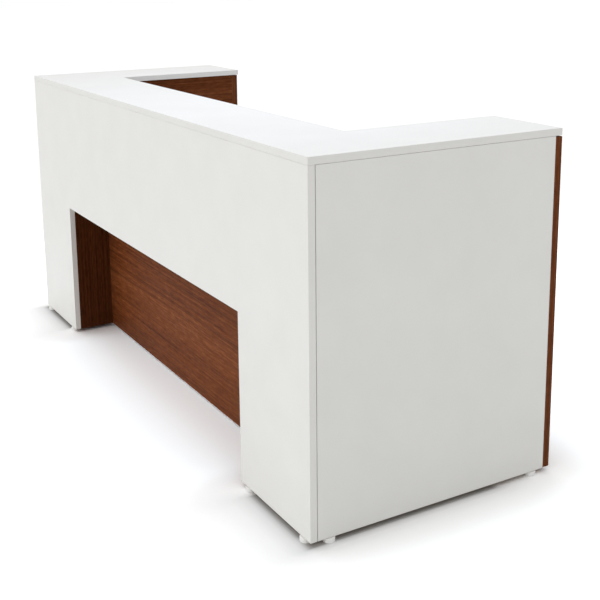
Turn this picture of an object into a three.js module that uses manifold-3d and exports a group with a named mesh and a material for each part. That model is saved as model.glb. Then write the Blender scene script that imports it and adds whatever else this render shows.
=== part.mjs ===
// Reception desk: a U-shaped counter on a white front and two white ends, with a walnut-lined recess
// in the front, walnut panels on the user's side, a work surface between the returns and levelling
// glides under the panels. Millimetres, +Z up; the origin is on the floor at the middle of the desk,
// the visitor's side is -Y and the user sits on the +Y side.
import * as THREE from 'three';
import { mergeVertices } from 'three/addons/utils/BufferGeometryUtils.js';
import Module from 'manifold-3d';

const wasm = await Module();
wasm.setup();

// Overall sizes
const deskWidth = 2440;
const deskDepth = 880;
const deskHeight = 1100;

// Boards
const panelThickness = 22;
const counterThickness = 22;
const panelEdgeRadius = 1;
const counterEdgeRadius = 2;
const jointGap = 0.1; // between boards that butt

// Counter
const frontCounterWidth = 310;
const returnCounterWidth = 310;
const counterOverhang = 12; // past the inner return panels

// Recess in the front
const legWidth = 420; // from each end of the desk to the cut-out
const recessTop = 565; // above the floor
const recessDepth = 170; // from the front face to the back panel

// Rear panels of the returns
const rearPanelThickness = 25;
const rearPanelReveal = 3; // under the counter
const rearPanelLift = 1.5; // above the lower edge of the other panels

// Work surface and what carries it
const worksurfaceHeight = 735;
const worksurfaceThickness = 25;
const worksurfaceSetback = 72; // from the desk's rear to the user's edge
const cleatHeight = 45;
const cleatThickness = 18;
const cleatInset = 30; // from both edges of the work surface
const bracketSpacing = 800;
const bracketReach = 430;
const bracketDrop = 200;
const bracketTip = 24; // depth of the web at its free end
const bracketWaistReach = 62; // the web's lower edge curves in towards this point
const bracketWaistDrop = 100;
const bracketWidth = 40;
const bracketSheet = 3;
const bracketHoleRadius = 24;
const bracketHoleInset = 62; // from the wall and from the top of the web

// Cable grommets
const grommetBore = 60;
const grommetInset = 300; // from the inner return panels
const grommetFromBack = 82; // from the back panel
const grommetFlangeWidth = 6; // past the bore
const grommetFlangeThickness = 2.5;
const grommetFlangeEdge = 0.8;
const grommetDepth = 22; // of the liner, below the work surface's top
const grommetSeatWall = 2.2; // of the liner round its cap
const grommetLedgeWidth = 3.5; // under the cap's rim
const grommetFit = 0.3; // round the liner in its bore
const capThickness = 2.2;
const capClearance = 0.5; // round the cap in its seat
const capEdgeRadius = 0.5;
const capSlotWidth = 16;
const capSlotEnd = 6; // from the cap's centre to the slot's closed end

// Levelling glides
const frontGlideInset = 44; // from the ends of the front panel and from its cut-out
const sideGlideInset = 44; // from both ends of the end panels and inner return panels
const glideTravel = 12;
const footRadius = 18;
const footHeight = 13;
const footTopRadius = 1.5;
const footBottomEdge = 1;
const footSeatGap = 0.8; // between the foot and the panel when screwed home
const footSocketFloor = 2.5; // plastic left under the stem's pin
const stemRadius = 4;
const threadGrip = 14; // of the shank left in its insert at full travel
const stemTipEdge = 1;
const collarAcrossFlats = 13;
const collarHeight = 4.5;
const collarRecessClearance = 0.8; // round the collar's corners in the panel's edge
const turnClearance = 0.3; // round the stem, and above and below its collar
const insertWall = 1.8;
const insertTipRoom = 4; // above the shank at rest
const insertBarbs = 3;
const insertBarbDepth = 0.5;
const boreClearance = 0.15; // round an insert in its panel
const boreTipRoom = 12; // past the insert, for the drill's point

// Facets of the round pieces and steps of the rounded edges
const footFacets = 20;
const stemFacets = 12;
const grommetFacets = 32;
const hexagonSides = 6;
const easedEdgeSteps = 2;
const footEdgeSteps = 3;
const curveSteps = 8;

// Places worked out from the sizes above
const halfWidth = deskWidth / 2;
const frontFace = -deskDepth / 2;
const rearFace = deskDepth / 2;
const frontPanelBack = frontFace + panelThickness;
const rearPanelFront = rearFace - rearPanelThickness;
const counterUnderside = deskHeight - counterThickness;
const panelTop = counterUnderside - jointGap;
const panelBottom = footHeight + footSeatGap;
const endPanelInside = halfWidth - panelThickness;
const innerFace = halfWidth - returnCounterWidth + counterOverhang;
const innerBack = innerFace + panelThickness;
const cutoutHalf = halfWidth - legWidth;
const backPanelFront = frontFace + recessDepth;
const backPanelRear = backPanelFront + panelThickness;
const worksurfaceUnderside = worksurfaceHeight - worksurfaceThickness;
const worksurfaceFront = backPanelRear + jointGap;
const worksurfaceRear = rearFace - worksurfaceSetback;
const grommetBarrel = grommetBore / 2 - grommetFit;
const grommetFlange = grommetBore / 2 + grommetFlangeWidth;
const grommetSeat = grommetBarrel - grommetSeatWall;
const grommetLedge = grommetSeat - grommetLedgeWidth;
const collarCorner = collarAcrossFlats / 2 / Math.cos(Math.PI / hexagonSides);
const collarBottom = footHeight + turnClearance;
const collarTop = collarBottom + collarHeight;
const insertBore = stemRadius + turnClearance;
const insertRadius = insertBore + insertWall;
const insertBottom = Math.max(panelBottom, collarTop + turnClearance);
const stemRise = threadGrip + glideTravel;
const insertLength = stemRise + insertTipRoom;

const whiteLaminate = new THREE.MeshStandardMaterial({ color: 0xe6e6e3, roughness: 0.5, metalness: 0 });
const walnut = new THREE.MeshStandardMaterial({ color: 0x5e3320, roughness: 0.45, metalness: 0 });
const rawBoard = new THREE.MeshStandardMaterial({ color: 0xb99b72, roughness: 0.9, metalness: 0 });
const whitePlastic = new THREE.MeshStandardMaterial({ color: 0xe9e9e6, roughness: 0.55, metalness: 0 });
const greyPlastic = new THREE.MeshStandardMaterial({ color: 0x3a3b3d, roughness: 0.6, metalness: 0 });
const zincSteel = new THREE.MeshStandardMaterial({ color: 0xb9bcc0, roughness: 0.35, metalness: 1 });
const paintedSteel = new THREE.MeshStandardMaterial({ color: 0x2b2c2e, roughness: 0.5, metalness: 0.2 });

const desk = new THREE.Group();

function addPiece(parent, name, geometry, material) {
  const piece = new THREE.Mesh(geometry, material);
  piece.name = name;
  parent.add(piece);
  return piece;
}

// Closed geometry as a solid for joining and cutting, and back again
function toSolid(geometry) {
  const bare = geometry.clone();
  bare.deleteAttribute('normal');
  bare.deleteAttribute('uv');
  const merged = mergeVertices(bare);
  return new wasm.Manifold(new wasm.Mesh({
    numProp: 3,
    vertProperties: merged.attributes.position.array,
    triVerts: new Uint32Array(merged.index.array),
  }));
}

function toGeometry(solid) {
  const mesh = solid.getMesh();
  const geometry = new THREE.BufferGeometry();
  geometry.setAttribute('position', new THREE.BufferAttribute(mesh.vertProperties, 3));
  geometry.setIndex(new THREE.BufferAttribute(mesh.triVerts, 1));
  geometry.computeVertexNormals();
  return geometry;
}

function cutAll(geometry, cutters) {
  let solid = toSolid(geometry);
  for (const cutter of cutters) {
    solid = solid.subtract(toSolid(cutter));
  }
  return toGeometry(solid);
}

function joinAll(geometries) {
  let solid = toSolid(geometries[0]);
  for (const geometry of geometries.slice(1)) {
    solid = solid.add(toSolid(geometry));
  }
  return toGeometry(solid);
}

function outline(points) {
  return new THREE.Shape(points.map(([across, up]) => new THREE.Vector2(across, up)));
}

function rectangle(left, right, bottom, top) {
  return outline([[left, bottom], [right, bottom], [right, top], [left, top]]);
}

// A board of the given outline, from 0 to its thickness, with all its edges eased
function easedBoard(shape, thickness, radius) {
  const board = new THREE.ExtrudeGeometry(shape, {
    depth: thickness - 2 * radius,
    bevelEnabled: true,
    bevelThickness: radius,
    bevelSize: radius,
    bevelOffset: -radius,
    bevelSegments: easedEdgeSteps,
    curveSegments: curveSteps,
  });
  return board.translate(0, 0, radius);
}

// A round piece turned from pairs of radius and height, with its axis upright
function turned(profile, facets) {
  const points = profile.map(([radius, height]) => new THREE.Vector2(radius, height));
  return new THREE.LatheGeometry(points, facets).rotateX(Math.PI / 2);
}

// Boards lie flat (outline in x and y), stand across the desk (x and z) or stand along it (y and z)
function layFlat(piece, bottom) {
  piece.position.z = bottom;
}

function standAcross(piece, rear) {
  piece.rotation.x = Math.PI / 2;
  piece.position.y = rear;
}

function standAlong(piece, side, nearFace, thickness) {
  piece.rotation.set(Math.PI / 2, Math.PI / 2, 0);
  piece.position.x = side > 0 ? nearFace : -nearFace - thickness;
}

// Upright bores in a standing board's lower edge: for each glide one for its insert, opened out at the
// mouth so that the stem's collar goes in when the foot is screwed home
function glideBores(places) {
  const start = panelBottom - 2 * panelEdgeRadius;
  const cuts = [
    [insertRadius + boreClearance, insertBottom + insertLength + boreTipRoom],
    [collarCorner + collarRecessClearance, insertBottom],
  ];
  return places.flatMap((place) => cuts.map(([radius, top]) => {
    const bore = new THREE.CylinderGeometry(radius, radius, top - start, stemFacets);
    return bore.translate(place, (start + top) / 2, panelThickness / 2);
  }));
}

function makeCounter() {
  const inside = halfWidth - returnCounterWidth;
  const insideFront = frontFace + frontCounterWidth;
  const shape = outline([
    [-halfWidth, frontFace], [halfWidth, frontFace], [halfWidth, rearFace], [inside, rearFace],
    [inside, insideFront], [-inside, insideFront], [-inside, rearFace], [-halfWidth, rearFace],
  ]);
  const board = easedBoard(shape, counterThickness, counterEdgeRadius);
  layFlat(addPiece(desk, 'counter_top', board, whiteLaminate), counterUnderside);
}

const frontGlidePlaces = [halfWidth - frontGlideInset, cutoutHalf + frontGlideInset];
const sideGlidePlaces = { front: frontPanelBack + sideGlideInset, rear: rearPanelFront - sideGlideInset };

function makeFrontPanel() {
  const shape = outline([
    [-halfWidth, panelBottom], [-cutoutHalf, panelBottom], [-cutoutHalf, recessTop], [cutoutHalf, recessTop],
    [cutoutHalf, panelBottom], [halfWidth, panelBottom], [halfWidth, panelTop], [-halfWidth, panelTop],
  ]);
  const board = easedBoard(shape, panelThickness, panelEdgeRadius);
  const bores = glideBores(frontGlidePlaces.flatMap((place) => [-place, place]));
  standAcross(addPiece(desk, 'front_panel', cutAll(board, bores), whiteLaminate), frontPanelBack);
}

// One return: its white end panel, walnut inner and rear panels, and the divider that ties them
function makeReturn(side, sideName) {
  const long = rectangle(frontPanelBack + jointGap, rearPanelFront - jointGap, panelBottom, panelTop);
  const longBoard = easedBoard(long, panelThickness, panelEdgeRadius);
  const bored = cutAll(longBoard, glideBores(Object.values(sideGlidePlaces)));
  const end = addPiece(desk, `${sideName}_end_panel`, bored, whiteLaminate);
  standAlong(end, side, endPanelInside, panelThickness);
  const inner = addPiece(desk, `${sideName}_inner_panel`, bored.clone(), walnut);
  standAlong(inner, side, innerFace, panelThickness);

  const rearSpan = [side * innerFace, side * halfWidth].sort((a, b) => a - b);
  const rear = rectangle(...rearSpan, panelBottom + rearPanelLift, counterUnderside - rearPanelReveal);
  const rearBoard = easedBoard(rear, rearPanelThickness, panelEdgeRadius);
  standAcross(addPiece(desk, `${sideName}_rear_panel`, rearBoard, walnut), rearFace);

  const span = [side * (innerBack + jointGap), side * (endPanelInside - jointGap)].sort((a, b) => a - b);
  const divider = easedBoard(rectangle(...span, panelBottom, panelTop), panelThickness, panelEdgeRadius);
  standAcross(addPiece(desk, `${sideName}_return_divider`, divider, rawBoard), panelThickness / 2);
}

// Walnut lining of the recess: two upright sides, the soffit over them and the back panel, which
// runs on up to the counter and out to the returns
function makeRecess() {
  const front = frontPanelBack + jointGap;
  const rear = backPanelFront - jointGap;
  const sideShape = rectangle(front, rear, panelBottom, recessTop - jointGap);
  for (const [side, sideName] of [[-1, 'left'], [1, 'right']]) {
    const board = easedBoard(sideShape, panelThickness, panelEdgeRadius);
    const piece = addPiece(desk, `${sideName}_recess_panel`, board, walnut);
    standAlong(piece, side, cutoutHalf, panelThickness);
  }
  const soffitHalf = cutoutHalf + panelThickness;
  const soffit = easedBoard(rectangle(-soffitHalf, soffitHalf, front, rear), panelThickness, panelEdgeRadius);
  layFlat(addPiece(desk, 'recess_soffit', soffit, walnut), recessTop);

  const backHalf = innerFace - jointGap;
  const backShape = rectangle(-backHalf, backHalf, panelBottom, panelTop);
  const back = easedBoard(backShape, panelThickness, panelEdgeRadius);
  standAcross(addPiece(desk, 'back_panel', back, walnut), backPanelRear);
}

const grommetX = innerFace - grommetInset;
const grommetY = backPanelRear + grommetFromBack;

function makeWorksurface() {
  const half = innerFace - jointGap;
  const shape = rectangle(-half, half, worksurfaceFront, worksurfaceRear);
  const board = easedBoard(shape, worksurfaceThickness, counterEdgeRadius);
  const bores = [-grommetX, grommetX].map((x) => {
    const radius = grommetBore / 2;
    const bore = new THREE.CylinderGeometry(radius, radius, 2 * worksurfaceThickness, grommetFacets);
    return bore.rotateX(Math.PI / 2).translate(x, grommetY, worksurfaceThickness / 2);
  });
  layFlat(addPiece(desk, 'worksurface', cutAll(board, bores), whiteLaminate), worksurfaceUnderside);
}

function makeCleat(side, sideName) {
  const top = worksurfaceUnderside - jointGap;
  const front = worksurfaceFront + cleatInset;
  const rear = worksurfaceRear - cleatInset;
  const shape = rectangle(front, rear, top - cleatHeight, top);
  const board = easedBoard(shape, cleatThickness, panelEdgeRadius);
  const cleat = addPiece(desk, `${sideName}_cleat`, board, walnut);
  standAlong(cleat, side, innerFace - jointGap - cleatThickness, cleatThickness);
}

// Pressed cantilever bracket: a curved web with a hole in it, between a wall flange and a top flange
function makeBracket(side, sideName) {
  const web = new THREE.Shape();
  web.moveTo(0, 0);
  web.lineTo(0, -bracketDrop);
  web.quadraticCurveTo(bracketWaistReach, -bracketWaistDrop, bracketReach, -bracketTip);
  web.lineTo(bracketReach, 0);
  web.closePath();
  const hole = new THREE.Path();
  hole.absarc(bracketHoleInset, -bracketHoleInset, bracketHoleRadius, 0, 2 * Math.PI, true);
  web.holes.push(hole);
  const webPlate = new THREE.ExtrudeGeometry(web, {
    depth: bracketSheet,
    bevelEnabled: false,
    curveSegments: curveSteps,
  });
  webPlate.translate(0, 0, -bracketSheet / 2);
  const topFlange = new THREE.BoxGeometry(bracketReach, bracketSheet, bracketWidth);
  topFlange.translate(bracketReach / 2, -bracketSheet / 2, 0);
  const wallFlange = new THREE.BoxGeometry(bracketSheet, bracketDrop, bracketWidth);
  wallFlange.translate(bracketSheet / 2, -bracketDrop / 2, 0);
  const pressing = joinAll([webPlate, topFlange, wallFlange]);
  const bracket = addPiece(desk, `${sideName}_bracket`, pressing, paintedSteel);
  bracket.rotation.set(Math.PI / 2, Math.PI / 2, 0);
  bracket.position.set(side * bracketSpacing / 2, worksurfaceFront, worksurfaceUnderside - jointGap);
}

// Cable grommet: a flanged liner with a ledge, and a cap that turns on it. The cap is a disc with a
// round-ended slot running in from its rim.
function makeGrommet(side, sideName) {
  const grommet = new THREE.Group();
  grommet.position.set(side * grommetX, grommetY, worksurfaceHeight);
  desk.add(grommet);

  const ledgeTop = grommetFlangeThickness - capThickness - turnClearance;
  const profile = [
    [grommetLedge, -grommetDepth], [grommetBarrel, -grommetDepth], [grommetBarrel, jointGap],
    [grommetFlange, jointGap], [grommetFlange, grommetFlangeThickness - grommetFlangeEdge],
    [grommetFlange - grommetFlangeEdge, grommetFlangeThickness], [grommetSeat, grommetFlangeThickness],
    [grommetSeat, ledgeTop], [grommetLedge, ledgeTop], [grommetLedge, -grommetDepth],
  ];
  addPiece(grommet, `${sideName}_grommet_liner`, turned(profile, grommetFacets), greyPlastic);

  const capRadius = grommetSeat - capClearance;
  const slotHalf = capSlotWidth / 2;
  const mouth = Math.asin(slotHalf / capRadius);
  const rim = -Math.PI / 2;
  const shape = new THREE.Shape();
  shape.absarc(0, 0, capRadius, rim + mouth, rim + 2 * Math.PI - mouth, false);
  shape.absarc(0, -capSlotEnd - slotHalf, slotHalf, Math.PI, 0, true);
  shape.closePath();
  const cap = easedBoard(shape, capThickness, capEdgeRadius);
  const capPiece = addPiece(grommet, `${sideName}_grommet_cap`, cap, greyPlastic);
  layFlat(capPiece, grommetFlangeThickness - capThickness);
}

function footGeometry() {
  const profile = [[0, 0], [footRadius - footBottomEdge, 0], [footRadius, footBottomEdge]];
  for (let step = 0; step <= footEdgeSteps; step += 1) {
    const angle = (step / footEdgeSteps) * Math.PI / 2;
    const radius = footRadius - footTopRadius * (1 - Math.cos(angle));
    profile.push([radius, footHeight - footTopRadius * (1 - Math.sin(angle))]);
  }
  const socket = stemRadius + turnClearance;
  profile.push([socket, footHeight], [socket, footSocketFloor], [0, footSocketFloor]);
  return turned(profile, footFacets);
}

function stemGeometry() {
  const top = insertBottom + stemRise;
  const shank = turned([
    [0, footSocketFloor + turnClearance], [stemRadius, footSocketFloor + turnClearance],
    [stemRadius, top - stemTipEdge], [stemRadius - stemTipEdge, top], [0, top],
  ], stemFacets);
  const collar = new THREE.CylinderGeometry(collarCorner, collarCorner, collarHeight, hexagonSides);
  collar.rotateX(Math.PI / 2).translate(0, 0, (collarBottom + collarTop) / 2);
  return joinAll([shank, collar]);
}

// Barbed tube, set above the collar's recess
function insertGeometry() {
  const profile = [[insertBore, 0], [insertRadius, 0]];
  const barbLength = insertLength / (insertBarbs + 1);
  for (let barb = 1; barb <= insertBarbs; barb += 1) {
    const height = barb * barbLength;
    profile.push([insertRadius, height], [insertRadius - insertBarbDepth, height]);
  }
  profile.push([insertRadius - insertBarbDepth, insertLength], [insertBore, insertLength], [insertBore, 0]);
  return turned(profile, stemFacets).translate(0, 0, insertBottom);
}

function makeGlide(name, x, y) {
  const glide = new THREE.Group();
  glide.position.set(x, y, 0);
  desk.add(glide);
  addPiece(glide, `${name}_glide_foot`, footGeometry(), whitePlastic);
  addPiece(glide, `${name}_glide_stem`, stemGeometry(), zincSteel);
  addPiece(glide, `${name}_glide_insert`, insertGeometry(), zincSteel);
}

function makeGlides(side, sideName) {
  const frontY = frontFace + panelThickness / 2;
  const [outerX, innerX] = frontGlidePlaces;
  makeGlide(`front_${sideName}_outer`, side * outerX, frontY);
  makeGlide(`front_${sideName}_inner`, side * innerX, frontY);
  for (const [place, y] of Object.entries(sideGlidePlaces)) {
    makeGlide(`end_${sideName}_${place}`, side * (endPanelInside + panelThickness / 2), y);
    makeGlide(`inner_${sideName}_${place}`, side * (innerFace + panelThickness / 2), y);
  }
}

makeCounter();
makeFrontPanel();
makeRecess();
makeWorksurface();
for (const [side, sideName] of [[-1, 'left'], [1, 'right']]) {
  makeReturn(side, sideName);
  makeCleat(side, sideName);
  makeBracket(side, sideName);
  makeGrommet(side, sideName);
  makeGlides(side, sideName);
}

export default desk;
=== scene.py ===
import math
import bmesh
import bpy
from mathutils import Matrix, Vector


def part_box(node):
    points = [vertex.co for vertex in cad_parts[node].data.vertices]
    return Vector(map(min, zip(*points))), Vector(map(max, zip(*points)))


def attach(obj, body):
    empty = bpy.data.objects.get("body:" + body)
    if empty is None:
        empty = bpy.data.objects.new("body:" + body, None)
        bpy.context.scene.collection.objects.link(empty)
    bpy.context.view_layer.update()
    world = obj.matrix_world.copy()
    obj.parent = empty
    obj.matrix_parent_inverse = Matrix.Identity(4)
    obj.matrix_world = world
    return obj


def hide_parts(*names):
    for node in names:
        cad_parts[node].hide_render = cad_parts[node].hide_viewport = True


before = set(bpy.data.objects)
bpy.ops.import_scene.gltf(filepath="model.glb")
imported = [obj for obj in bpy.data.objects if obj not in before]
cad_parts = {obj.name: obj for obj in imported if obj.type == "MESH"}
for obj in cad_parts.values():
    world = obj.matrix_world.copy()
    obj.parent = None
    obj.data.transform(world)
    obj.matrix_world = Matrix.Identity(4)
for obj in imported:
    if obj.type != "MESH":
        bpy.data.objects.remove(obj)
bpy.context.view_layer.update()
axes = "XYZ"
print("frame loaded,", len(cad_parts), "nodes")


# Camera: stands off the desk's right front corner, a little above the counter
cameraLook = {
    "stand": (3.4592, -1.7608, 1.5787),
    "heading": -59.90,  # degrees from +Y, turning towards -X
    "pitch": -11.69,
    "roll": -0.54,
    "lens": 62.19,  # mm on the sensor below
    "sensor": 36.0,
    "shift": -0.2,  # lowered view, as in the photograph, so that uprights stay nearly upright
}


def makeCamera():
    data = bpy.data.cameras.new("deskCamera")
    data.sensor_width = cameraLook["sensor"]
    data.lens = cameraLook["lens"]
    data.shift_y = cameraLook["shift"]
    camera = bpy.data.objects.new("deskCamera", data)
    turn = Matrix.Rotation(math.radians(-cameraLook["heading"]), 4, "Z")
    tip = Matrix.Rotation(math.radians(90 + cameraLook["pitch"]), 4, "X")
    lean = Matrix.Rotation(math.radians(cameraLook["roll"]), 4, "Z")
    camera.matrix_world = Matrix.Translation(cameraLook["stand"]) @ turn @ tip @ lean
    bpy.context.scene.collection.objects.link(camera)
    bpy.context.scene.camera = camera


makeCamera()
print("camera placed")


# Node helper: settings are the node's own properties, inputs its sockets (_ stands for a space)
def addNode(tree, kind, settings=None, **inputs):
    made = tree.nodes.new("ShaderNode" + kind)
    for name, value in (settings or {}).items():
        setattr(made, name, value)
    for name, value in inputs.items():
        socket = made.inputs[name.replace("_", " ")]
        if isinstance(value, bpy.types.NodeSocket):
            tree.links.new(value, socket)
        else:
            socket.default_value = value
    return made


def newFinish(name):
    material = bpy.data.materials.new(name)
    material.use_nodes = True
    tree = material.node_tree
    place = addNode(tree, "TexCoord").outputs["Object"]
    return material, tree, tree.nodes["Principled BSDF"], place


def stretchedNoise(tree, place, scale, detail, roughness=0.5, distortion=0.0):
    mapped = addNode(tree, "Mapping", Vector=place, Scale=scale)
    noise = addNode(tree, "TexNoise", Vector=mapped.outputs[0], Scale=1.0, Detail=detail,
                    Roughness=roughness, Distortion=distortion)
    return noise.outputs["Fac"]


def rescale(tree, value, low, high, to=(0.0, 1.0)):
    made = addNode(tree, "MapRange", {"clamp": True}, Value=value, From_Min=low, From_Max=high,
                   To_Min=to[0], To_Max=to[1])
    return made.outputs[0]


def maths(tree, operation, first, second):
    made = addNode(tree, "Math", {"operation": operation})
    for socket, value in zip(made.inputs, (first, second)):
        if isinstance(value, bpy.types.NodeSocket):
            tree.links.new(value, socket)
        else:
            socket.default_value = value
    return made.outputs[0]


def weighedSum(tree, values, weights):
    total = 0.0
    for value, weight in zip(values, weights):
        total = maths(tree, "ADD", maths(tree, "MULTIPLY", value, weight), total)
    return total


def toneRamp(tree, value, stops):
    made = addNode(tree, "ValToRGB", Fac=value)
    ramp = made.color_ramp
    while len(ramp.elements) < len(stops):
        ramp.elements.new(0.5)
    for element, (position, colour) in zip(ramp.elements, stops):
        element.position = position
        element.color = (*colour, 1)
    return made.outputs["Color"]


def scaledColour(tree, colour, scale):
    return addNode(tree, "VectorMath", {"operation": "SCALE"}, Vector=colour, Scale=scale).outputs[0]


def bumpFrom(tree, shader, height, strength, distance):
    bump = addNode(tree, "Bump", Height=height, Strength=strength, Distance=distance)
    tree.links.new(bump.outputs[0], shader.inputs["Normal"])


# Shared by the finishes
noiseSpan = (0.35, 0.65)  # where most of a noise's values lie
wideSpan = (0.30, 0.70)
toneWeights = (0.6, 0.4)  # a slow drift of tone, and a fine texture
reliefDepth = 0.0002  # of fine bumps


# White laminate and its edge band
whiteLook = {
    "face": ((0.787, 0.783, 0.752), (0.814, 0.810, 0.778)),
    "band": ((0.774, 0.768, 0.735), (0.797, 0.791, 0.757)),
    "cloud": (7.0, 7.0, 7.0),  # slow change of tone
    "pearl": (850.0, 850.0, 850.0),  # fine texture pressed into the sheet
    "roughness": (0.40, 0.50),
    "specular": 0.22,
    "relief": 0.08,
}


def whiteFinish(name, tones):
    material, tree, shader, place = newFinish(name)
    cloud = stretchedNoise(tree, place, whiteLook["cloud"], detail=3.0)
    pearl = stretchedNoise(tree, place, whiteLook["pearl"], detail=2.0)
    mixed = weighedSum(tree, (cloud, pearl), toneWeights)
    tone = toneRamp(tree, mixed, list(zip(noiseSpan, tones)))
    tree.links.new(tone, shader.inputs["Base Color"])
    rough = rescale(tree, pearl, *wideSpan, whiteLook["roughness"])
    tree.links.new(rough, shader.inputs["Roughness"])
    shader.inputs["Specular IOR Level"].default_value = whiteLook["specular"]
    bumpFrom(tree, shader, pearl, whiteLook["relief"], reliefDepth)
    return material


# Walnut: straight grain along one axis. Each pair is waves per metre along and across the grain.
walnutLook = {
    "figure": (0.5, 6.0),  # broad drift of tone
    "streak": (0.5, 125.0),  # long lines
    "stroke": (28.0, 150.0),  # short ones
    "line": (8.0, 420.0),  # hair lines
    "vein": (0.8, 110.0),
    "pore": (24.0, 900.0),
    "weights": {"figure": 0.22, "streak": 0.34, "stroke": 0.26, "line": 0.18},
    "tones": [
        (0.37, (0.080, 0.0190, 0.0047)),
        (0.452, (0.148, 0.0398, 0.0111)),
        (0.536, (0.207, 0.0605, 0.0186)),
        (0.63, (0.297, 0.0996, 0.0360)),
    ],
    "veinSpan": (0.56, 0.66),  # of its noise, from none to full
    "veinTone": 0.70,
    "poreSpan": (0.60, 0.70),
    "poreTone": 0.62,
    "roughness": (0.46, 0.60),
    "specular": 0.04,
    "relief": 0.12,
    "batches": {"walnut": 1.0, "walnutShaded": 0.70, "walnutDeepShaded": 0.45},  # tone scales: plain walnut; walnut darkened as painted shade on the inner and rear panels; darker still as painted shade on the recess's sides
}


def walnutFinish(batch, axis):
    material, tree, shader, place = newFinish(batch + "Along" + axis)

    def layer(name, detail, roughness=0.5, distortion=0.0):
        along, across = walnutLook[name]
        scale = [along if other == axis else across for other in axes]
        return stretchedNoise(tree, place, scale, detail, roughness, distortion)

    figure = layer("figure", detail=2.0, distortion=0.3)
    streak = layer("streak", detail=2.5, roughness=0.65)
    stroke = layer("stroke", detail=2.0, roughness=0.6)
    line = layer("line", detail=2.0, roughness=0.6)
    vein = rescale(tree, layer("vein", detail=2.0, roughness=0.6), *walnutLook["veinSpan"])
    pore = rescale(tree, layer("pore", detail=1.0), *walnutLook["poreSpan"])
    mixed = weighedSum(tree, (figure, streak, stroke, line), walnutLook["weights"].values())
    tone = toneRamp(tree, mixed, walnutLook["tones"])
    # a batch below 1 darkens the walnut as painted shade
    level = walnutLook["batches"][batch]
    veined = rescale(tree, vein, 0.0, 1.0, (level, level * walnutLook["veinTone"]))
    pored = rescale(tree, pore, 0.0, 1.0, (1.0, walnutLook["poreTone"]))
    tone = scaledColour(tree, scaledColour(tree, tone, veined), pored)
    tree.links.new(tone, shader.inputs["Base Color"])
    rough = rescale(tree, streak, *wideSpan, walnutLook["roughness"])
    tree.links.new(rough, shader.inputs["Roughness"])
    shader.inputs["Specular IOR Level"].default_value = walnutLook["specular"]
    bumpFrom(tree, shader, maths(tree, "SUBTRACT", line, pore), walnutLook["relief"], reliefDepth)
    return material


# Bare chipboard, in the hidden dividers and inside bores
chipboardLook = {
    "flake": (320.0, 320.0, 320.0),
    "tones": [(0.2, (0.26, 0.165, 0.080)), (0.55, (0.46, 0.32, 0.175)), (0.9, (0.60, 0.46, 0.29))],
    "roughness": 0.85,
    "relief": 0.4,
    "reliefDepth": 0.0006,
}


def chipboardFinish():
    material, tree, shader, place = newFinish("bareChipboard")
    mapped = addNode(tree, "Mapping", Vector=place, Scale=chipboardLook["flake"])
    flake = addNode(tree, "TexVoronoi", Vector=mapped.outputs[0], Scale=1.0, Randomness=1.0)
    grey = addNode(tree, "SeparateColor", Color=flake.outputs["Color"])
    tone = toneRamp(tree, grey.outputs[0], chipboardLook["tones"])
    tree.links.new(tone, shader.inputs["Base Color"])
    shader.inputs["Roughness"].default_value = chipboardLook["roughness"]
    height = flake.outputs["Distance"]
    bumpFrom(tree, shader, height, chipboardLook["relief"], chipboardLook["reliefDepth"])
    return material


# Moulded plastics and metals: a tone that drifts a little, and a fine surface
smallDrift = 45.0  # waves per metre
smallLook = {
    "glidePlastic": {"tones": ((0.84, 0.84, 0.82), (0.90, 0.90, 0.88)), "roughness": (0.42, 0.56),
                     "metallic": 0.0, "fine": 1400.0, "relief": 0.06},
    "grommetPlastic": {"tones": ((0.030, 0.031, 0.033), (0.045, 0.046, 0.048)), "roughness": (0.45, 0.60),
                       "metallic": 0.0, "fine": 1800.0, "relief": 0.20},
    "zincSteel": {"tones": ((0.50, 0.51, 0.53), (0.66, 0.67, 0.68)), "roughness": (0.26, 0.42),
                  "metallic": 1.0, "fine": 500.0, "relief": 0.05},
    "paintedSteel": {"tones": ((0.022, 0.023, 0.025), (0.034, 0.035, 0.037)), "roughness": (0.42, 0.60),
                     "metallic": 0.0, "fine": 900.0, "relief": 0.25},
}


def smallFinish(name):
    look = smallLook[name]
    material, tree, shader, place = newFinish(name)
    drift = stretchedNoise(tree, place, (smallDrift,) * 3, detail=3.0)
    fine = stretchedNoise(tree, place, (look["fine"],) * 3, detail=2.0)
    mixed = weighedSum(tree, (drift, fine), toneWeights)
    tone = toneRamp(tree, mixed, list(zip(noiseSpan, look["tones"])))
    tree.links.new(tone, shader.inputs["Base Color"])
    rough = rescale(tree, mixed, *noiseSpan, look["roughness"])
    tree.links.new(rough, shader.inputs["Roughness"])
    shader.inputs["Metallic"].default_value = look["metallic"]
    bumpFrom(tree, shader, fine, look["relief"], reliefDepth)
    return material


whiteFace = whiteFinish("whiteLaminate", whiteLook["face"])
whiteBand = whiteFinish("whiteEdgeBand", whiteLook["band"])
veneers = {batch: [walnutFinish(batch, axis) for axis in axes] for batch in walnutLook["batches"]}
chipboard = chipboardFinish()
glidePlastic = smallFinish("glidePlastic")
grommetPlastic = smallFinish("grommetPlastic")
zincSteel = smallFinish("zincSteel")
paintedSteel = smallFinish("paintedSteel")
print("finishes made")


# Mesh helpers
samePlace = 1e-6  # points nearer than this are one
creaseAngle = 40  # degrees, past which an edge of a round piece stays crisp
overcut = 0.01  # how far cutters reach past what they cut


def looseObject(name, bm):
    mesh = bpy.data.meshes.new(name)
    bm.to_mesh(mesh)
    bm.free()
    loose = bpy.data.objects.new(name, mesh)
    bpy.context.scene.collection.objects.link(loose)
    return loose


# A finished mesh becomes a piece that rides on its body and stands for its CAD nodes
def finishPiece(name, bm, finishes, body="desk", nodes=()):
    piece = looseObject(name, bm)
    for finish in finishes:
        piece.data.materials.append(finish)
    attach(piece, body)
    if nodes:
        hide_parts(*nodes)
    return piece


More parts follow.
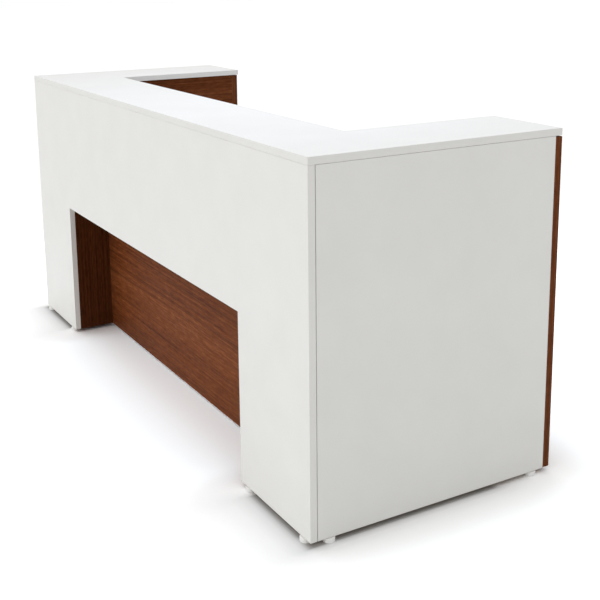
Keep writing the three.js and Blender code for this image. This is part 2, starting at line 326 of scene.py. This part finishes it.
# Cuts the cutter's shapes out of an object for good, leaving the cutter's own finish index in the holes
def cutAway(piece, cutterMesh):
    cutter = looseObject("cutter", cutterMesh)
    cut = piece.modifiers.new("cut", "BOOLEAN")
    cut.operation = "DIFFERENCE"
    cut.solver = "EXACT"
    cut.object = cutter
    result = bpy.data.meshes.new_from_object(piece.evaluated_get(bpy.context.evaluated_depsgraph_get()))
    result.name = piece.name
    piece.modifiers.clear()
    piece.data = result
    bpy.data.objects.remove(cutter)


def mergeInto(bm, other):
    mesh = bpy.data.meshes.new("part")
    other.to_mesh(mesh)
    other.free()
    bm.from_mesh(mesh)
    bpy.data.meshes.remove(mesh)


def easeEdges(bm, radius, steps=3, sharpest=60):
    sharp = [edge for edge in bm.edges if edge.calc_face_angle(0) > math.radians(sharpest)]
    made = bmesh.ops.bevel(bm, geom=sharp, offset=radius, offset_type="OFFSET", segments=steps,
                           profile=0.5, affect="EDGES", material=-1)
    for face in made["faces"]:
        face.smooth = True


def boxMesh(low, high):
    bm = bmesh.new()
    bmesh.ops.create_cube(bm, size=1)
    bmesh.ops.scale(bm, vec=high - low, verts=bm.verts)
    bmesh.ops.translate(bm, vec=(low + high) / 2, verts=bm.verts)
    return bm


def slabMesh(corners, rise):
    bm = bmesh.new()
    face = bm.faces.new([bm.verts.new(corner) for corner in corners])
    made = bmesh.ops.extrude_face_region(bm, geom=[face])
    lifted = [item for item in made["geom"] if isinstance(item, bmesh.types.BMVert)]
    bmesh.ops.translate(bm, vec=rise, verts=lifted)
    bmesh.ops.recalc_face_normals(bm, faces=bm.faces)
    return bm


# Round pieces: (radius, height) pairs turned about an upright axis
def spinMesh(profile, centre, steps, closed=False):
    bm = bmesh.new()
    verts = [bm.verts.new((radius, 0, height)) for radius, height in profile]
    pairs = list(zip(verts, verts[1:])) + ([(verts[-1], verts[0])] if closed else [])
    edges = [bm.edges.new(pair) for pair in pairs]
    bmesh.ops.spin(bm, geom=verts + edges, cent=(0, 0, 0), axis=(0, 0, 1), angle=2 * math.pi,
                   steps=steps, use_merge=True)
    bmesh.ops.remove_doubles(bm, verts=bm.verts, dist=samePlace)
    bmesh.ops.recalc_face_normals(bm, faces=bm.faces)
    for face in bm.faces:
        face.smooth = True
    for edge in bm.edges:
        edge.smooth = edge.calc_face_angle(0) < math.radians(creaseAngle)
    bmesh.ops.translate(bm, vec=centre, verts=bm.verts)
    return bm


def arcPoints(across, up, radius, start, end, steps):
    angles = [math.radians(start + (end - start) * step / steps) for step in range(steps + 1)]
    return [(across + radius * math.cos(angle), up + radius * math.sin(angle)) for angle in angles]


def middleOf(node, height):
    low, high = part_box(node)
    return Vector(((low.x + high.x) / 2, (low.y + high.y) / 2, height))


# Boards: faces, an edge band all round with its glue line, and eased arrises
boardLook = {
    "arris": 0.0008,
    "counterArris": 0.0010,
    "band": 0.0026,  # thickness of the edge band
    "glueLine": 0.0003,
    "glueDepth": 0.00012,
    "endSeam": 0.0019,  # shadow line in front of the end panels
    "topSeam": 0.0005,  # and over them
    "bareFoot": 0.0005,  # edges this near the bottom of a standing panel have no band
}


def longestAxis(face):
    spans = [max(v.co[k] for v in face.verts) - min(v.co[k] for v in face.verts) for k in range(3)]
    return spans.index(max(spans))


def dressBoard(bm, thin, faceIndex, bandIndex, arris):
    bm.normal_update()
    broad = [face for face in bm.faces if round(abs(face.normal[axes.index(thin)])) == 1]
    for face in bm.faces:
        face.material_index = faceIndex if face in broad else bandIndex(face)
    ring = bmesh.ops.inset_individual(bm, faces=broad, thickness=boardLook["band"],
                                      use_even_offset=True)
    for face in ring["faces"]:
        face.material_index = bandIndex(face)
    bmesh.ops.inset_individual(bm, faces=broad, thickness=boardLook["glueLine"],
                               depth=-boardLook["glueDepth"], use_even_offset=True)
    easeEdges(bm, arris)


def finishBoard(bm, node, kind, grain, thin, arris):
    name = node + "_board"
    if kind == "white":
        finishes = [whiteFace, whiteBand, chipboard]
        foot = min(vert.co.z for vert in bm.verts) + boardLook["bareFoot"]

        def bandOrBare(face):
            bare = thin != "Z" and face.calc_center_median().z < foot
            return finishes.index(chipboard if bare else whiteBand)

        dressBoard(bm, thin, finishes.index(whiteFace), bandOrBare, arris)
        return finishPiece(name, bm, finishes, nodes=[node])
    if kind in veneers:
        dressBoard(bm, thin, axes.index(grain), longestAxis, arris)
        return finishPiece(name, bm, [*veneers[kind], chipboard], nodes=[node])
    easeEdges(bm, arris)
    return finishPiece(name, bm, [chipboard], nodes=[node])


def makeBoard(node, kind, grain):
    low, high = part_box(node)
    spans = list(high - low)
    thin = axes[spans.index(min(spans))]
    if kind == "white":
        low.y += boardLook["endSeam"]
        high.z -= boardLook["topSeam"]
    finishBoard(boxMesh(low, high), node, kind, grain, thin, boardLook["arris"])


# Each board's kind and the way its grain runs; the darker walnut kinds are walnut darkened as painted
# shade
boards = {
    "left_end_panel": ("white", "X"),
    "right_end_panel": ("white", "X"),
    "left_inner_panel": ("walnutShaded", "Y"),
    "right_inner_panel": ("walnutShaded", "Y"),
    "left_rear_panel": ("walnutShaded", "Z"),
    "right_rear_panel": ("walnutShaded", "Z"),
    "left_recess_panel": ("walnutDeepShaded", "Z"),
    "right_recess_panel": ("walnutDeepShaded", "Z"),
    "recess_soffit": ("walnut", "X"),
    "back_panel": ("walnut", "X"),
    "left_cleat": ("walnut", "Y"),
    "right_cleat": ("walnut", "Y"),
    "left_return_divider": ("chipboard", "X"),
    "right_return_divider": ("chipboard", "X"),
}
for node, (kind, grain) in boards.items():
    makeBoard(node, kind, grain)
print("plain boards made")


# Front panel: one board with the recess cut out of its lower middle
def makeFrontPanel():
    low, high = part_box("front_panel")
    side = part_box("right_recess_panel")[0].x
    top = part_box("recess_soffit")[0].z
    outline = [(low.x, low.z), (-side, low.z), (-side, top), (side, top),
               (side, low.z), (high.x, low.z), (high.x, high.z), (low.x, high.z)]
    bm = slabMesh([(x, low.y, z) for x, z in outline], (0, high.y - low.y, 0))
    finishBoard(bm, "front_panel", "white", "X", "Y", boardLook["arris"])


# Counter: one U-shaped board over the front and both returns
counterLook = {
    "frontWidth": 0.310,
    "returnWidth": 0.310,
}


def makeCounter():
    low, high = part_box("counter_top")
    side = high.x - counterLook["returnWidth"]
    inside = low.y + counterLook["frontWidth"]
    outline = [(low.x, low.y), (high.x, low.y), (high.x, high.y), (side, high.y),
               (side, inside), (-side, inside), (-side, high.y), (low.x, high.y)]
    bm = slabMesh([(x, y, low.z) for x, y in outline], (0, 0, high.z - low.z))
    finishBoard(bm, "counter_top", "white", "X", "Z", boardLook["counterArris"])


# A stepped round cutter: pairs of radius and the height it reaches up to, from the bottom up
def steppedHole(steps, centre, bottom, finishIndex, facets=32):
    profile = [(0, bottom)]
    for radius, top in steps:
        profile += [(radius, profile[-1][1]), (radius, top)]
    cutter = spinMesh(profile + [(0, profile[-1][1])], centre, facets)
    for face in cutter.faces:
        face.material_index = finishIndex
    return cutter


# Work surface: a board with two round holes for the cable grommets
worksurfaceLook = {"grommetBore": 0.060, "boreFacets": 64}


# Bare chipboard is the last of a board's finishes
def bareIndex(piece):
    return len(piece.data.materials) - 1


def makeWorksurface():
    low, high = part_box("worksurface")
    piece = finishBoard(boxMesh(low, high), "worksurface", "white", "X", "Z", boardLook["counterArris"])
    steps = [(worksurfaceLook["grommetBore"] / 2, high.z + overcut)]
    facets = worksurfaceLook["boreFacets"]
    for side in ("left", "right"):
        centre = middleOf(side + "_grommet_liner", 0)
        cutAway(piece, steppedHole(steps, centre, low.z - overcut, bareIndex(piece), facets))


makeFrontPanel()
makeCounter()
makeWorksurface()
print("front panel, counter and work surface made")


# Bores for the glides in the lower edges of the standing panels, wide at the mouth for the collar
boreLook = {
    "clearance": 0.00015,  # round the insert
    "tipRoom": 0.012,  # past its end
    "mouth": 0.0083,  # radius of the collar's recess
}
glideFeet = [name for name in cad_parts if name.endswith("_glide_foot")]
glidePlaces = sorted(name.removesuffix("_glide_foot") for name in glideFeet)
boredBoards = {
    "front_left": "front_panel", "front_right": "front_panel",
    "end_left": "left_end_panel", "end_right": "right_end_panel",
    "inner_left": "left_inner_panel", "inner_right": "right_inner_panel",
}


def boreBoards():
    for place in glidePlaces:
        board = boredBoards[place.rsplit("_", 1)[0]]
        piece = bpy.data.objects[board + "_board"]
        low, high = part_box(place + "_glide_insert")
        radius = (high.x - low.x) / 2 + boreLook["clearance"]
        steps = [(boreLook["mouth"], low.z), (radius, high.z + boreLook["tipRoom"])]
        centre = middleOf(place + "_glide_insert", 0)
        cutAway(piece, steppedHole(steps, centre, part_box(board)[0].z - overcut, bareIndex(piece)))


boreBoards()
print("glide bores cut")


# Levelling glides: foot with a finger grip, threaded stem with a hexagon collar, insert in the panel
footLook = {
    "facets": 48,
    "edge": 0.0010,  # rounding at the floor
    "shoulder": 0.0015,  # rounding at the top
    "dish": 0.0005,  # hollow in the underside
    "dishInset": (0.004, 0.003),  # its slope, in from the foot's outside
    "socketFloor": 0.0025,
    "socketClearance": 0.0003,
    "gripDepth": 0.00025,
    "gripGap": 0.0005,
}
stemLook = {
    "pitch": 0.00125,
    "threadDepth": 0.0006,
    "stepsPerTurn": 16,
    "crestShare": 0.42,  # of the pitch, from a thread's edge to its crest
    "rootShare": 1.2,  # of its depth, so that it stands in the core
    "threadGap": 0.0001,  # over the collar
    "plainTip": 0.0015,
    "radius": 0.004,
    "facets": 24,
    "footChamfer": 0.0004,
    "tipChamfer": 0.0008,
    "collarAcrossFlats": 0.013,
    "collarGap": 0.0003,  # over the foot, and under the insert
    "collarEdge": 0.0003,
}


def makeFoot(place):
    node = place + "_glide_foot"
    low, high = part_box(node)
    radius = (high.y - low.y) / 2
    height = high.z - low.z
    socket = stemLook["radius"] + footLook["socketClearance"]
    edge, shoulder, dish = footLook["edge"], footLook["shoulder"], footLook["dish"]
    dishEnd, rimStart = footLook["dishInset"]
    profile = [(0, dish), (radius - dishEnd, dish), (radius - rimStart, 0)]
    profile += arcPoints(radius - edge, edge, edge, -90, 0, steps=3)
    profile += arcPoints(radius - shoulder, height - shoulder, shoulder, 0, 90, steps=4)
    profile += [(socket, height), (socket, footLook["socketFloor"]), (0, footLook["socketFloor"])]
    bm = spinMesh(profile, Vector((0, 0, 0)), footLook["facets"])
    side = [face for face in bm.faces if face.calc_center_median().xy.length > radius - edge
            and edge < face.calc_center_median().z < height - shoulder]
    bmesh.ops.inset_individual(bm, faces=side, thickness=footLook["gripGap"],
                               depth=-footLook["gripDepth"], use_even_offset=True)
    bmesh.ops.translate(bm, vec=middleOf(node, low.z), verts=bm.verts)
    finishPiece(node + "_moulding", bm, [glidePlastic], place + "_foot", [node])


def addThread(bm, radius, depth, pitch, bottom, turns):
    half = stemLook["crestShare"] * pitch
    inside = radius - stemLook["rootShare"] * depth
    corners = [(inside, 0, bottom), (inside, 0, bottom + 2 * half), (radius, 0, bottom + half)]
    face = bm.faces.new([bm.verts.new(corner) for corner in corners])
    steps = stemLook["stepsPerTurn"] * turns
    bmesh.ops.spin(bm, geom=[face, *face.verts, *face.edges], cent=(0, 0, 0), axis=(0, 0, 1),
                   dvec=(0, 0, pitch / stemLook["stepsPerTurn"]), angle=2 * math.pi * turns, steps=steps)


def makeStem(place):
    node = place + "_glide_stem"
    low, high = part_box(node)
    radius, depth = stemLook["radius"], stemLook["threadDepth"]
    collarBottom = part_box(place + "_glide_foot")[1].z + stemLook["collarGap"]
    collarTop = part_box(place + "_glide_insert")[0].z - stemLook["collarGap"]
    core = radius - depth
    foot, tip = stemLook["footChamfer"], stemLook["tipChamfer"]
    profile = [(0, low.z), (radius - foot, low.z), (radius, low.z + foot), (radius, collarBottom),
               (core, collarTop), (core, high.z - tip), (core - tip, high.z), (0, high.z)]
    bm = spinMesh(profile, Vector((0, 0, 0)), stemLook["facets"])
    turns = int((high.z - collarTop - stemLook["plainTip"]) / stemLook["pitch"])
    addThread(bm, radius, depth, stemLook["pitch"], collarTop + stemLook["threadGap"], turns)
    collar = bmesh.new()
    corner = stemLook["collarAcrossFlats"] / 2 / math.cos(math.pi / 6)
    bmesh.ops.create_cone(collar, cap_ends=True, segments=6, radius1=corner, radius2=corner,
                          depth=collarTop - collarBottom,
                          matrix=Matrix.Translation((0, 0, (collarBottom + collarTop) / 2)))
    easeEdges(collar, stemLook["collarEdge"], steps=2, sharpest=50)
    mergeInto(bm, collar)
    bmesh.ops.recalc_face_normals(bm, faces=bm.faces)
    bmesh.ops.translate(bm, vec=middleOf(node, 0), verts=bm.verts)
    finishPiece(node + "_thread", bm, [zincSteel], place + "_stem", [node])


for place in glidePlaces:
    makeFoot(place)
    makeStem(place)
    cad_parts[place + "_glide_insert"].data.materials.clear()
    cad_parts[place + "_glide_insert"].data.materials.append(zincSteel)
print("glides made,", len(glidePlaces), "places")


# Cable grommets: flanged liner, and a dished cap with an open slot
grommetLook = {
    "barrel": 0.0297,
    "seat": 0.0275,
    "ledge": 0.0240,
    "lip": 0.0009,
    "seatEdge": 0.0004,
    "flangeGap": 0.0001,  # over the work surface
    "facets": 72,
    "slotWidth": 0.016,
    "slotEnd": 0.006,  # from the cap's centre to the slot's closed end
    "slotFacets": 16,
    "capEdge": 0.0005,
    "capRim": 0.0022,  # flat rim round the dish
    "capDish": 0.0004,
}


def makeLiner(side):
    node = side + "_grommet_liner"
    low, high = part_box(node)
    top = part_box("worksurface")[1].z
    under = top + grommetLook["flangeGap"]
    flange, lip, edge = (high.x - low.x) / 2, grommetLook["lip"], grommetLook["seatEdge"]
    barrel, seat, ledge = grommetLook["barrel"], grommetLook["seat"], grommetLook["ledge"]
    profile = [(ledge, low.z), (barrel, low.z), (barrel, under), (flange, under)]
    profile += arcPoints(flange - lip, high.z - lip, lip, 0, 90, steps=4)
    profile += arcPoints(seat + edge, high.z - edge, edge, 90, 180, steps=2)
    profile += [(seat, top), (ledge, top)]
    bm = spinMesh(profile, middleOf(node, 0), grommetLook["facets"], closed=True)
    finishPiece(node + "_moulding", bm, [grommetPlastic], nodes=[node])


# The cap's outline drawn in all round: a disc with a round-ended slot running out at its back
def capOutline(radius, inset):
    half = grommetLook["slotWidth"] / 2
    mouth = math.degrees(math.asin((half + inset) / (radius - inset)))
    outline = arcPoints(0, 0, radius - inset, mouth - 90, 270 - mouth, grommetLook["facets"])
    slotEnd = -grommetLook["slotEnd"] - half
    return outline + arcPoints(0, slotEnd, half + inset, 180, 0, grommetLook["slotFacets"])


def makeCap(side):
    node = side + "_grommet_cap"
    low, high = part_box(node)
    radius = (high.x - low.x) / 2
    centre = Vector(((low.x + high.x) / 2, high.y - radius, 0))

    def capSlab(inset, bottom, top):
        corners = [centre + Vector((x, y, bottom)) for x, y in capOutline(radius, inset)]
        return slabMesh(corners, (0, 0, top - bottom))

    bm = capSlab(0, low.z, high.z)
    easeEdges(bm, grommetLook["capEdge"], steps=2)
    cap = finishPiece(node + "_moulding", bm, [grommetPlastic],
                      side + "_grommet_cap", [node])
    dish = grommetLook["capDish"]
    cutAway(cap, capSlab(grommetLook["capRim"], high.z - dish, high.z + dish))


for side in ("left", "right"):
    makeLiner(side)
    makeCap(side)
print("grommets made")


# Brackets: a pressed web with a hole, and two flanges with their free corners rounded
bracketLook = {
    "sheet": 0.003,
    "bend": 0.0015,  # inside radius where the flanges meet
    "tip": 0.024,  # depth of the web at its free end
    "waist": (0.062, 0.100),  # the web's lower edge curves in towards this point
    "curveSteps": 32,
    "holeRadius": 0.024,
    "holeInset": 0.062,
    "holeFacets": 48,
    "corner": 0.006,
    "edge": 0.0005,
}


# The two flanges are one bent strip
def bracketStrip(low, high):
    sheet, bend = bracketLook["sheet"], bracketLook["bend"]
    outline = [(high.y, high.z - sheet)]
    outline += arcPoints(low.y + sheet + bend, high.z - sheet - bend, bend, 90, 180, steps=4)
    outline += [(low.y + sheet, low.z), (low.y, low.z)]
    outline += arcPoints(low.y + sheet + bend, high.z - sheet - bend, sheet + bend, 180, 90, steps=6)
    outline += [(high.y, high.z)]
    bm = slabMesh([(low.x, y, z) for y, z in outline], (high.x - low.x, 0, 0))
    ends = []
    for edge in bm.edges:
        first, second = (vert.co for vert in edge.verts)
        if abs(first.x - second.x) < samePlace and abs(edge.calc_length() - sheet) < samePlace:
            ends.append(edge)
    bmesh.ops.bevel(bm, geom=ends, offset=bracketLook["corner"], offset_type="OFFSET", segments=5,
                    profile=0.5, affect="EDGES", material=-1)
    easeEdges(bm, bracketLook["edge"], steps=2)
    return bm


def bracketWeb(low, high):
    half = bracketLook["sheet"] / 2
    middle = (low.x + high.x) / 2
    reach, drop = high.y - low.y, high.z - low.z
    start, end = Vector((half, half - drop)), Vector((reach - half, -bracketLook["tip"]))
    waist = Vector((bracketLook["waist"][0], -bracketLook["waist"][1]))
    curve = []
    for step in range(bracketLook["curveSteps"] + 1):
        t = step / bracketLook["curveSteps"]
        curve.append((1 - t) ** 2 * start + 2 * t * (1 - t) * waist + t ** 2 * end)
    outline = [Vector((half, -half)), *curve, Vector((reach - half, -half))]
    bm = slabMesh([(middle - half, low.y + y, high.z + z) for y, z in outline], (2 * half, 0, 0))
    easeEdges(bm, bracketLook["edge"], steps=2)
    web = looseObject("web", bm)
    steps = [(bracketLook["holeRadius"], overcut)]
    hole = steppedHole(steps, Vector((0, 0, 0)), -overcut, 0, bracketLook["holeFacets"])
    inset = bracketLook["holeInset"]
    lying = Matrix.Rotation(math.pi / 2, 4, "Y")
    place = Matrix.Translation((middle, low.y + inset, high.z - inset))
    bmesh.ops.transform(hole, matrix=place @ lying, verts=hole.verts)
    cutAway(web, hole)
    bm = bmesh.new()
    bm.from_mesh(web.data)
    bpy.data.objects.remove(web)
    return bm


def makeBracket(side):
    node = side + "_bracket"
    low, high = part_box(node)
    bm = bracketWeb(low, high)
    mergeInto(bm, bracketStrip(low, high))
    finishPiece(node + "_pressing", bm, [paintedSteel], nodes=[node])


for side in ("left", "right"):
    makeBracket(side)
print("brackets made")


# Screws with domed heads and a cross recess, through the brackets' flanges and the cleats
screwLook = {
    "head": 0.0042,  # radius
    "rise": 0.0024,
    "dome": 0.0016,
    "domeAngle": 80,
    "crown": 0.0002,  # the middle, over the dome
    "sunk": 0.0003,
    "facets": 24,
    "cross": (0.0048, 0.0010, 0.0012),  # length, width and depth
    "bracketOffset": 0.0125,  # from the web
    "wallDrops": (0.035, 0.165),
    "topReaches": (0.070, 0.370),
    "cleatShares": (0.12, 0.50, 0.88),  # along the cleat
    "turn": 0.9,  # from one screw's cross to the next one's, in radians
}


def screwMesh():
    head, rise, dome = screwLook["head"], screwLook["rise"], screwLook["dome"]
    length, width, depth = screwLook["cross"]
    profile = [(0, -screwLook["sunk"]), (head, -screwLook["sunk"])]
    profile += arcPoints(head - dome, rise - dome, dome, 0, screwLook["domeAngle"], steps=6)
    profile += [(0, rise + screwLook["crown"])]
    screw = looseObject("screw", spinMesh(profile, Vector((0, 0, 0)), screwLook["facets"]))
    bottom, top = Vector((0, 0, rise - depth)), Vector((0, 0, rise + overcut))
    for span in (Vector((length, width, 0)), Vector((width, length, 0))):
        cutAway(screw, boxMesh(bottom - span / 2, top + span / 2))
    mesh = screw.data
    bpy.data.objects.remove(screw)
    return mesh


def makeScrews():
    screw = screwMesh()
    places = []
    for side in ("left", "right"):
        low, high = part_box(side + "_bracket")
        middle, sheet = (low.x + high.x) / 2, bracketLook["sheet"]
        for across in (middle - screwLook["bracketOffset"], middle + screwLook["bracketOffset"]):
            for drop in screwLook["wallDrops"]:
                places.append(((across, low.y + sheet, high.z - drop), (0, 1, 0)))
            for reach in screwLook["topReaches"]:
                places.append(((across, low.y + reach, high.z - sheet), (0, 0, -1)))
        low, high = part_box(side + "_cleat")
        face, outward = (high.x, 1) if side == "left" else (low.x, -1)
        for share in screwLook["cleatShares"]:
            along = low.y + share * (high.y - low.y)
            places.append(((face, along, (low.z + high.z) / 2), (outward, 0, 0)))
    bm = bmesh.new()
    for number, (place, outward) in enumerate(places):
        first = len(bm.verts)
        bm.from_mesh(screw)
        bm.verts.ensure_lookup_table()
        turn = Matrix.Rotation(screwLook["turn"] * number, 4, "Z")
        point = Vector(outward).to_track_quat("Z", "Y").to_matrix().to_4x4()
        bmesh.ops.transform(bm, matrix=Matrix.Translation(place) @ point @ turn, verts=bm.verts[first:])
    finishPiece("fixing_screws", bm, [zincSteel])
    print("screws made,", len(places))


makeScrews()


# Floor: white, keeping the desk's shadow, with painted shadow near the legs and painted light between
# them for the camera
floorLook = {
    "half": 40.0,
    "tone": (0.92, 0.92, 0.92, 1),  # what it throws back at the desk
    "paintedShadeAndLight": [  # how the camera sees it, by distance from the desk's two legs: painted shadow near them, painted light between them
        (0.0, (0.45, 0.45, 0.45)),  # painted shadow under them, fading out over the next stops
        (0.008, (0.82, 0.82, 0.82)),
        (0.03, (1.00, 1.00, 1.00)),
        (0.06, (1.11, 1.11, 1.11)),
        (0.12, (1.23, 1.24, 1.24)),
        (0.20, (1.43, 1.50, 1.53)),  # painted light between them, lifting the shadow there, with less red to cancel the walnut's reddish bounce
        (0.90, (1.43, 1.50, 1.53)),
        (1.50, (1.10, 1.10, 1.10)),  # out in the open, where this is just white
    ],
    "legInset": 0.08,  # distance is counted from this far inside a leg, on the recess's side
    "rearInset": 0.20,  # and at its rear
    "depthShare": 0.4,  # and grows more slowly in front of the desk and behind it
}


def seenRays(tree):
    path = addNode(tree, "LightPath")
    seen = maths(tree, "MAXIMUM", path.outputs["Is Camera Ray"], path.outputs["Is Glossy Ray"])
    return maths(tree, "MAXIMUM", seen, path.outputs["Is Transmission Ray"])


# Distance on the floor from the nearer leg: folds one leg onto the other, and its box onto one corner
def legDistance(tree):
    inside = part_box("right_recess_panel")[0].x + floorLook["legInset"]
    low = Vector((inside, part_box("front_panel")[0].y, 0))
    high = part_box("right_end_panel")[1] - Vector((0, floorLook["rearInset"], 0))
    place = addNode(tree, "TexCoord").outputs["Object"]
    steps = [
        ("SUBTRACT", (0, (low.y + high.y) / 2, 0)),
        ("ABSOLUTE", None),
        ("SUBTRACT", ((low.x + high.x) / 2, 0, 0)),
        ("ABSOLUTE", None),
        ("SUBTRACT", ((high.x - low.x) / 2, (high.y - low.y) / 2, 0)),
        ("MAXIMUM", (0, 0, 0)),
        ("MULTIPLY", (1, floorLook["depthShare"], 0)),
    ]
    for operation, amount in steps:
        made = addNode(tree, "VectorMath", {"operation": operation}, Vector=place)
        if amount:
            made.inputs[1].default_value = amount
        place = made.outputs["Vector"]
    return addNode(tree, "VectorMath", {"operation": "LENGTH"}, Vector=place).outputs["Value"]


def makeFloor():
    bm = bmesh.new()
    bmesh.ops.create_grid(bm, x_segments=1, y_segments=1, size=floorLook["half"])
    floor = looseObject("studioFloor", bm)
    material = bpy.data.materials.new("studioFloor")
    material.use_nodes = True
    tree = material.node_tree
    tree.nodes.remove(tree.nodes["Principled BSDF"])
    stops = floorLook["paintedShadeAndLight"]
    reach = stops[-1][0]
    # painted shadow near the legs and painted light between them, by distance from the legs
    distance = rescale(tree, legDistance(tree), 0.0, reach)
    shown = toneRamp(tree, distance, [(at / reach, colour) for at, colour in stops])
    tone = addNode(tree, "MixRGB", Fac=seenRays(tree), Color1=floorLook["tone"], Color2=shown)
    matt = addNode(tree, "BsdfDiffuse", Color=tone.outputs[0])
    tree.links.new(matt.outputs[0], tree.nodes["Material Output"].inputs["Surface"])
    floor.data.materials.append(material)


# Studio light: a white surround, brightest to the left and front, and a soft lamp over the counter
worldLook = {
    "level": 0.82,
    "lean": (-0.33, -0.19, 0.20),  # how the surround brightens towards +X, +Y and +Z
    "least": 0.06,
    "seen": 1.0,  # what the camera and reflections see
}
lampLook = {"place": (0.25, -0.15, 2.7), "size": 1.0, "power": 9.2, "colour": (0.66, 0.75, 1.0)}


def makeWorld():
    world = bpy.data.worlds.new("studio")
    world.use_nodes = True
    tree = world.node_tree
    towards = addNode(tree, "TexCoord").outputs["Generated"]
    lean = addNode(tree, "VectorMath", {"operation": "DOT_PRODUCT"})
    tree.links.new(towards, lean.inputs[0])
    lean.inputs[1].default_value = worldLook["lean"]
    level = maths(tree, "ADD", lean.outputs["Value"], worldLook["level"])
    level = maths(tree, "MAXIMUM", level, worldLook["least"])
    seen = seenRays(tree)
    shown = maths(tree, "MULTIPLY", seen, worldLook["seen"])
    lit = maths(tree, "MULTIPLY", level, maths(tree, "SUBTRACT", 1.0, seen))
    background = tree.nodes["Background"]
    background.inputs["Color"].default_value = (1, 1, 1, 1)
    tree.links.new(maths(tree, "ADD", shown, lit), background.inputs["Strength"])
    bpy.context.scene.world = world


def makeLamp():
    data = bpy.data.lights.new("overhead", "AREA")
    data.size = lampLook["size"]
    data.energy = lampLook["power"]
    data.color = lampLook["colour"]
    lamp = bpy.data.objects.new("overhead", data)
    lamp.location = lampLook["place"]
    lamp.visible_camera = False
    bpy.context.scene.collection.objects.link(lamp)


makeFloor()
makeWorld()
makeLamp()
bpy.context.scene.view_settings.view_transform = "Standard"
print("floor and light made")
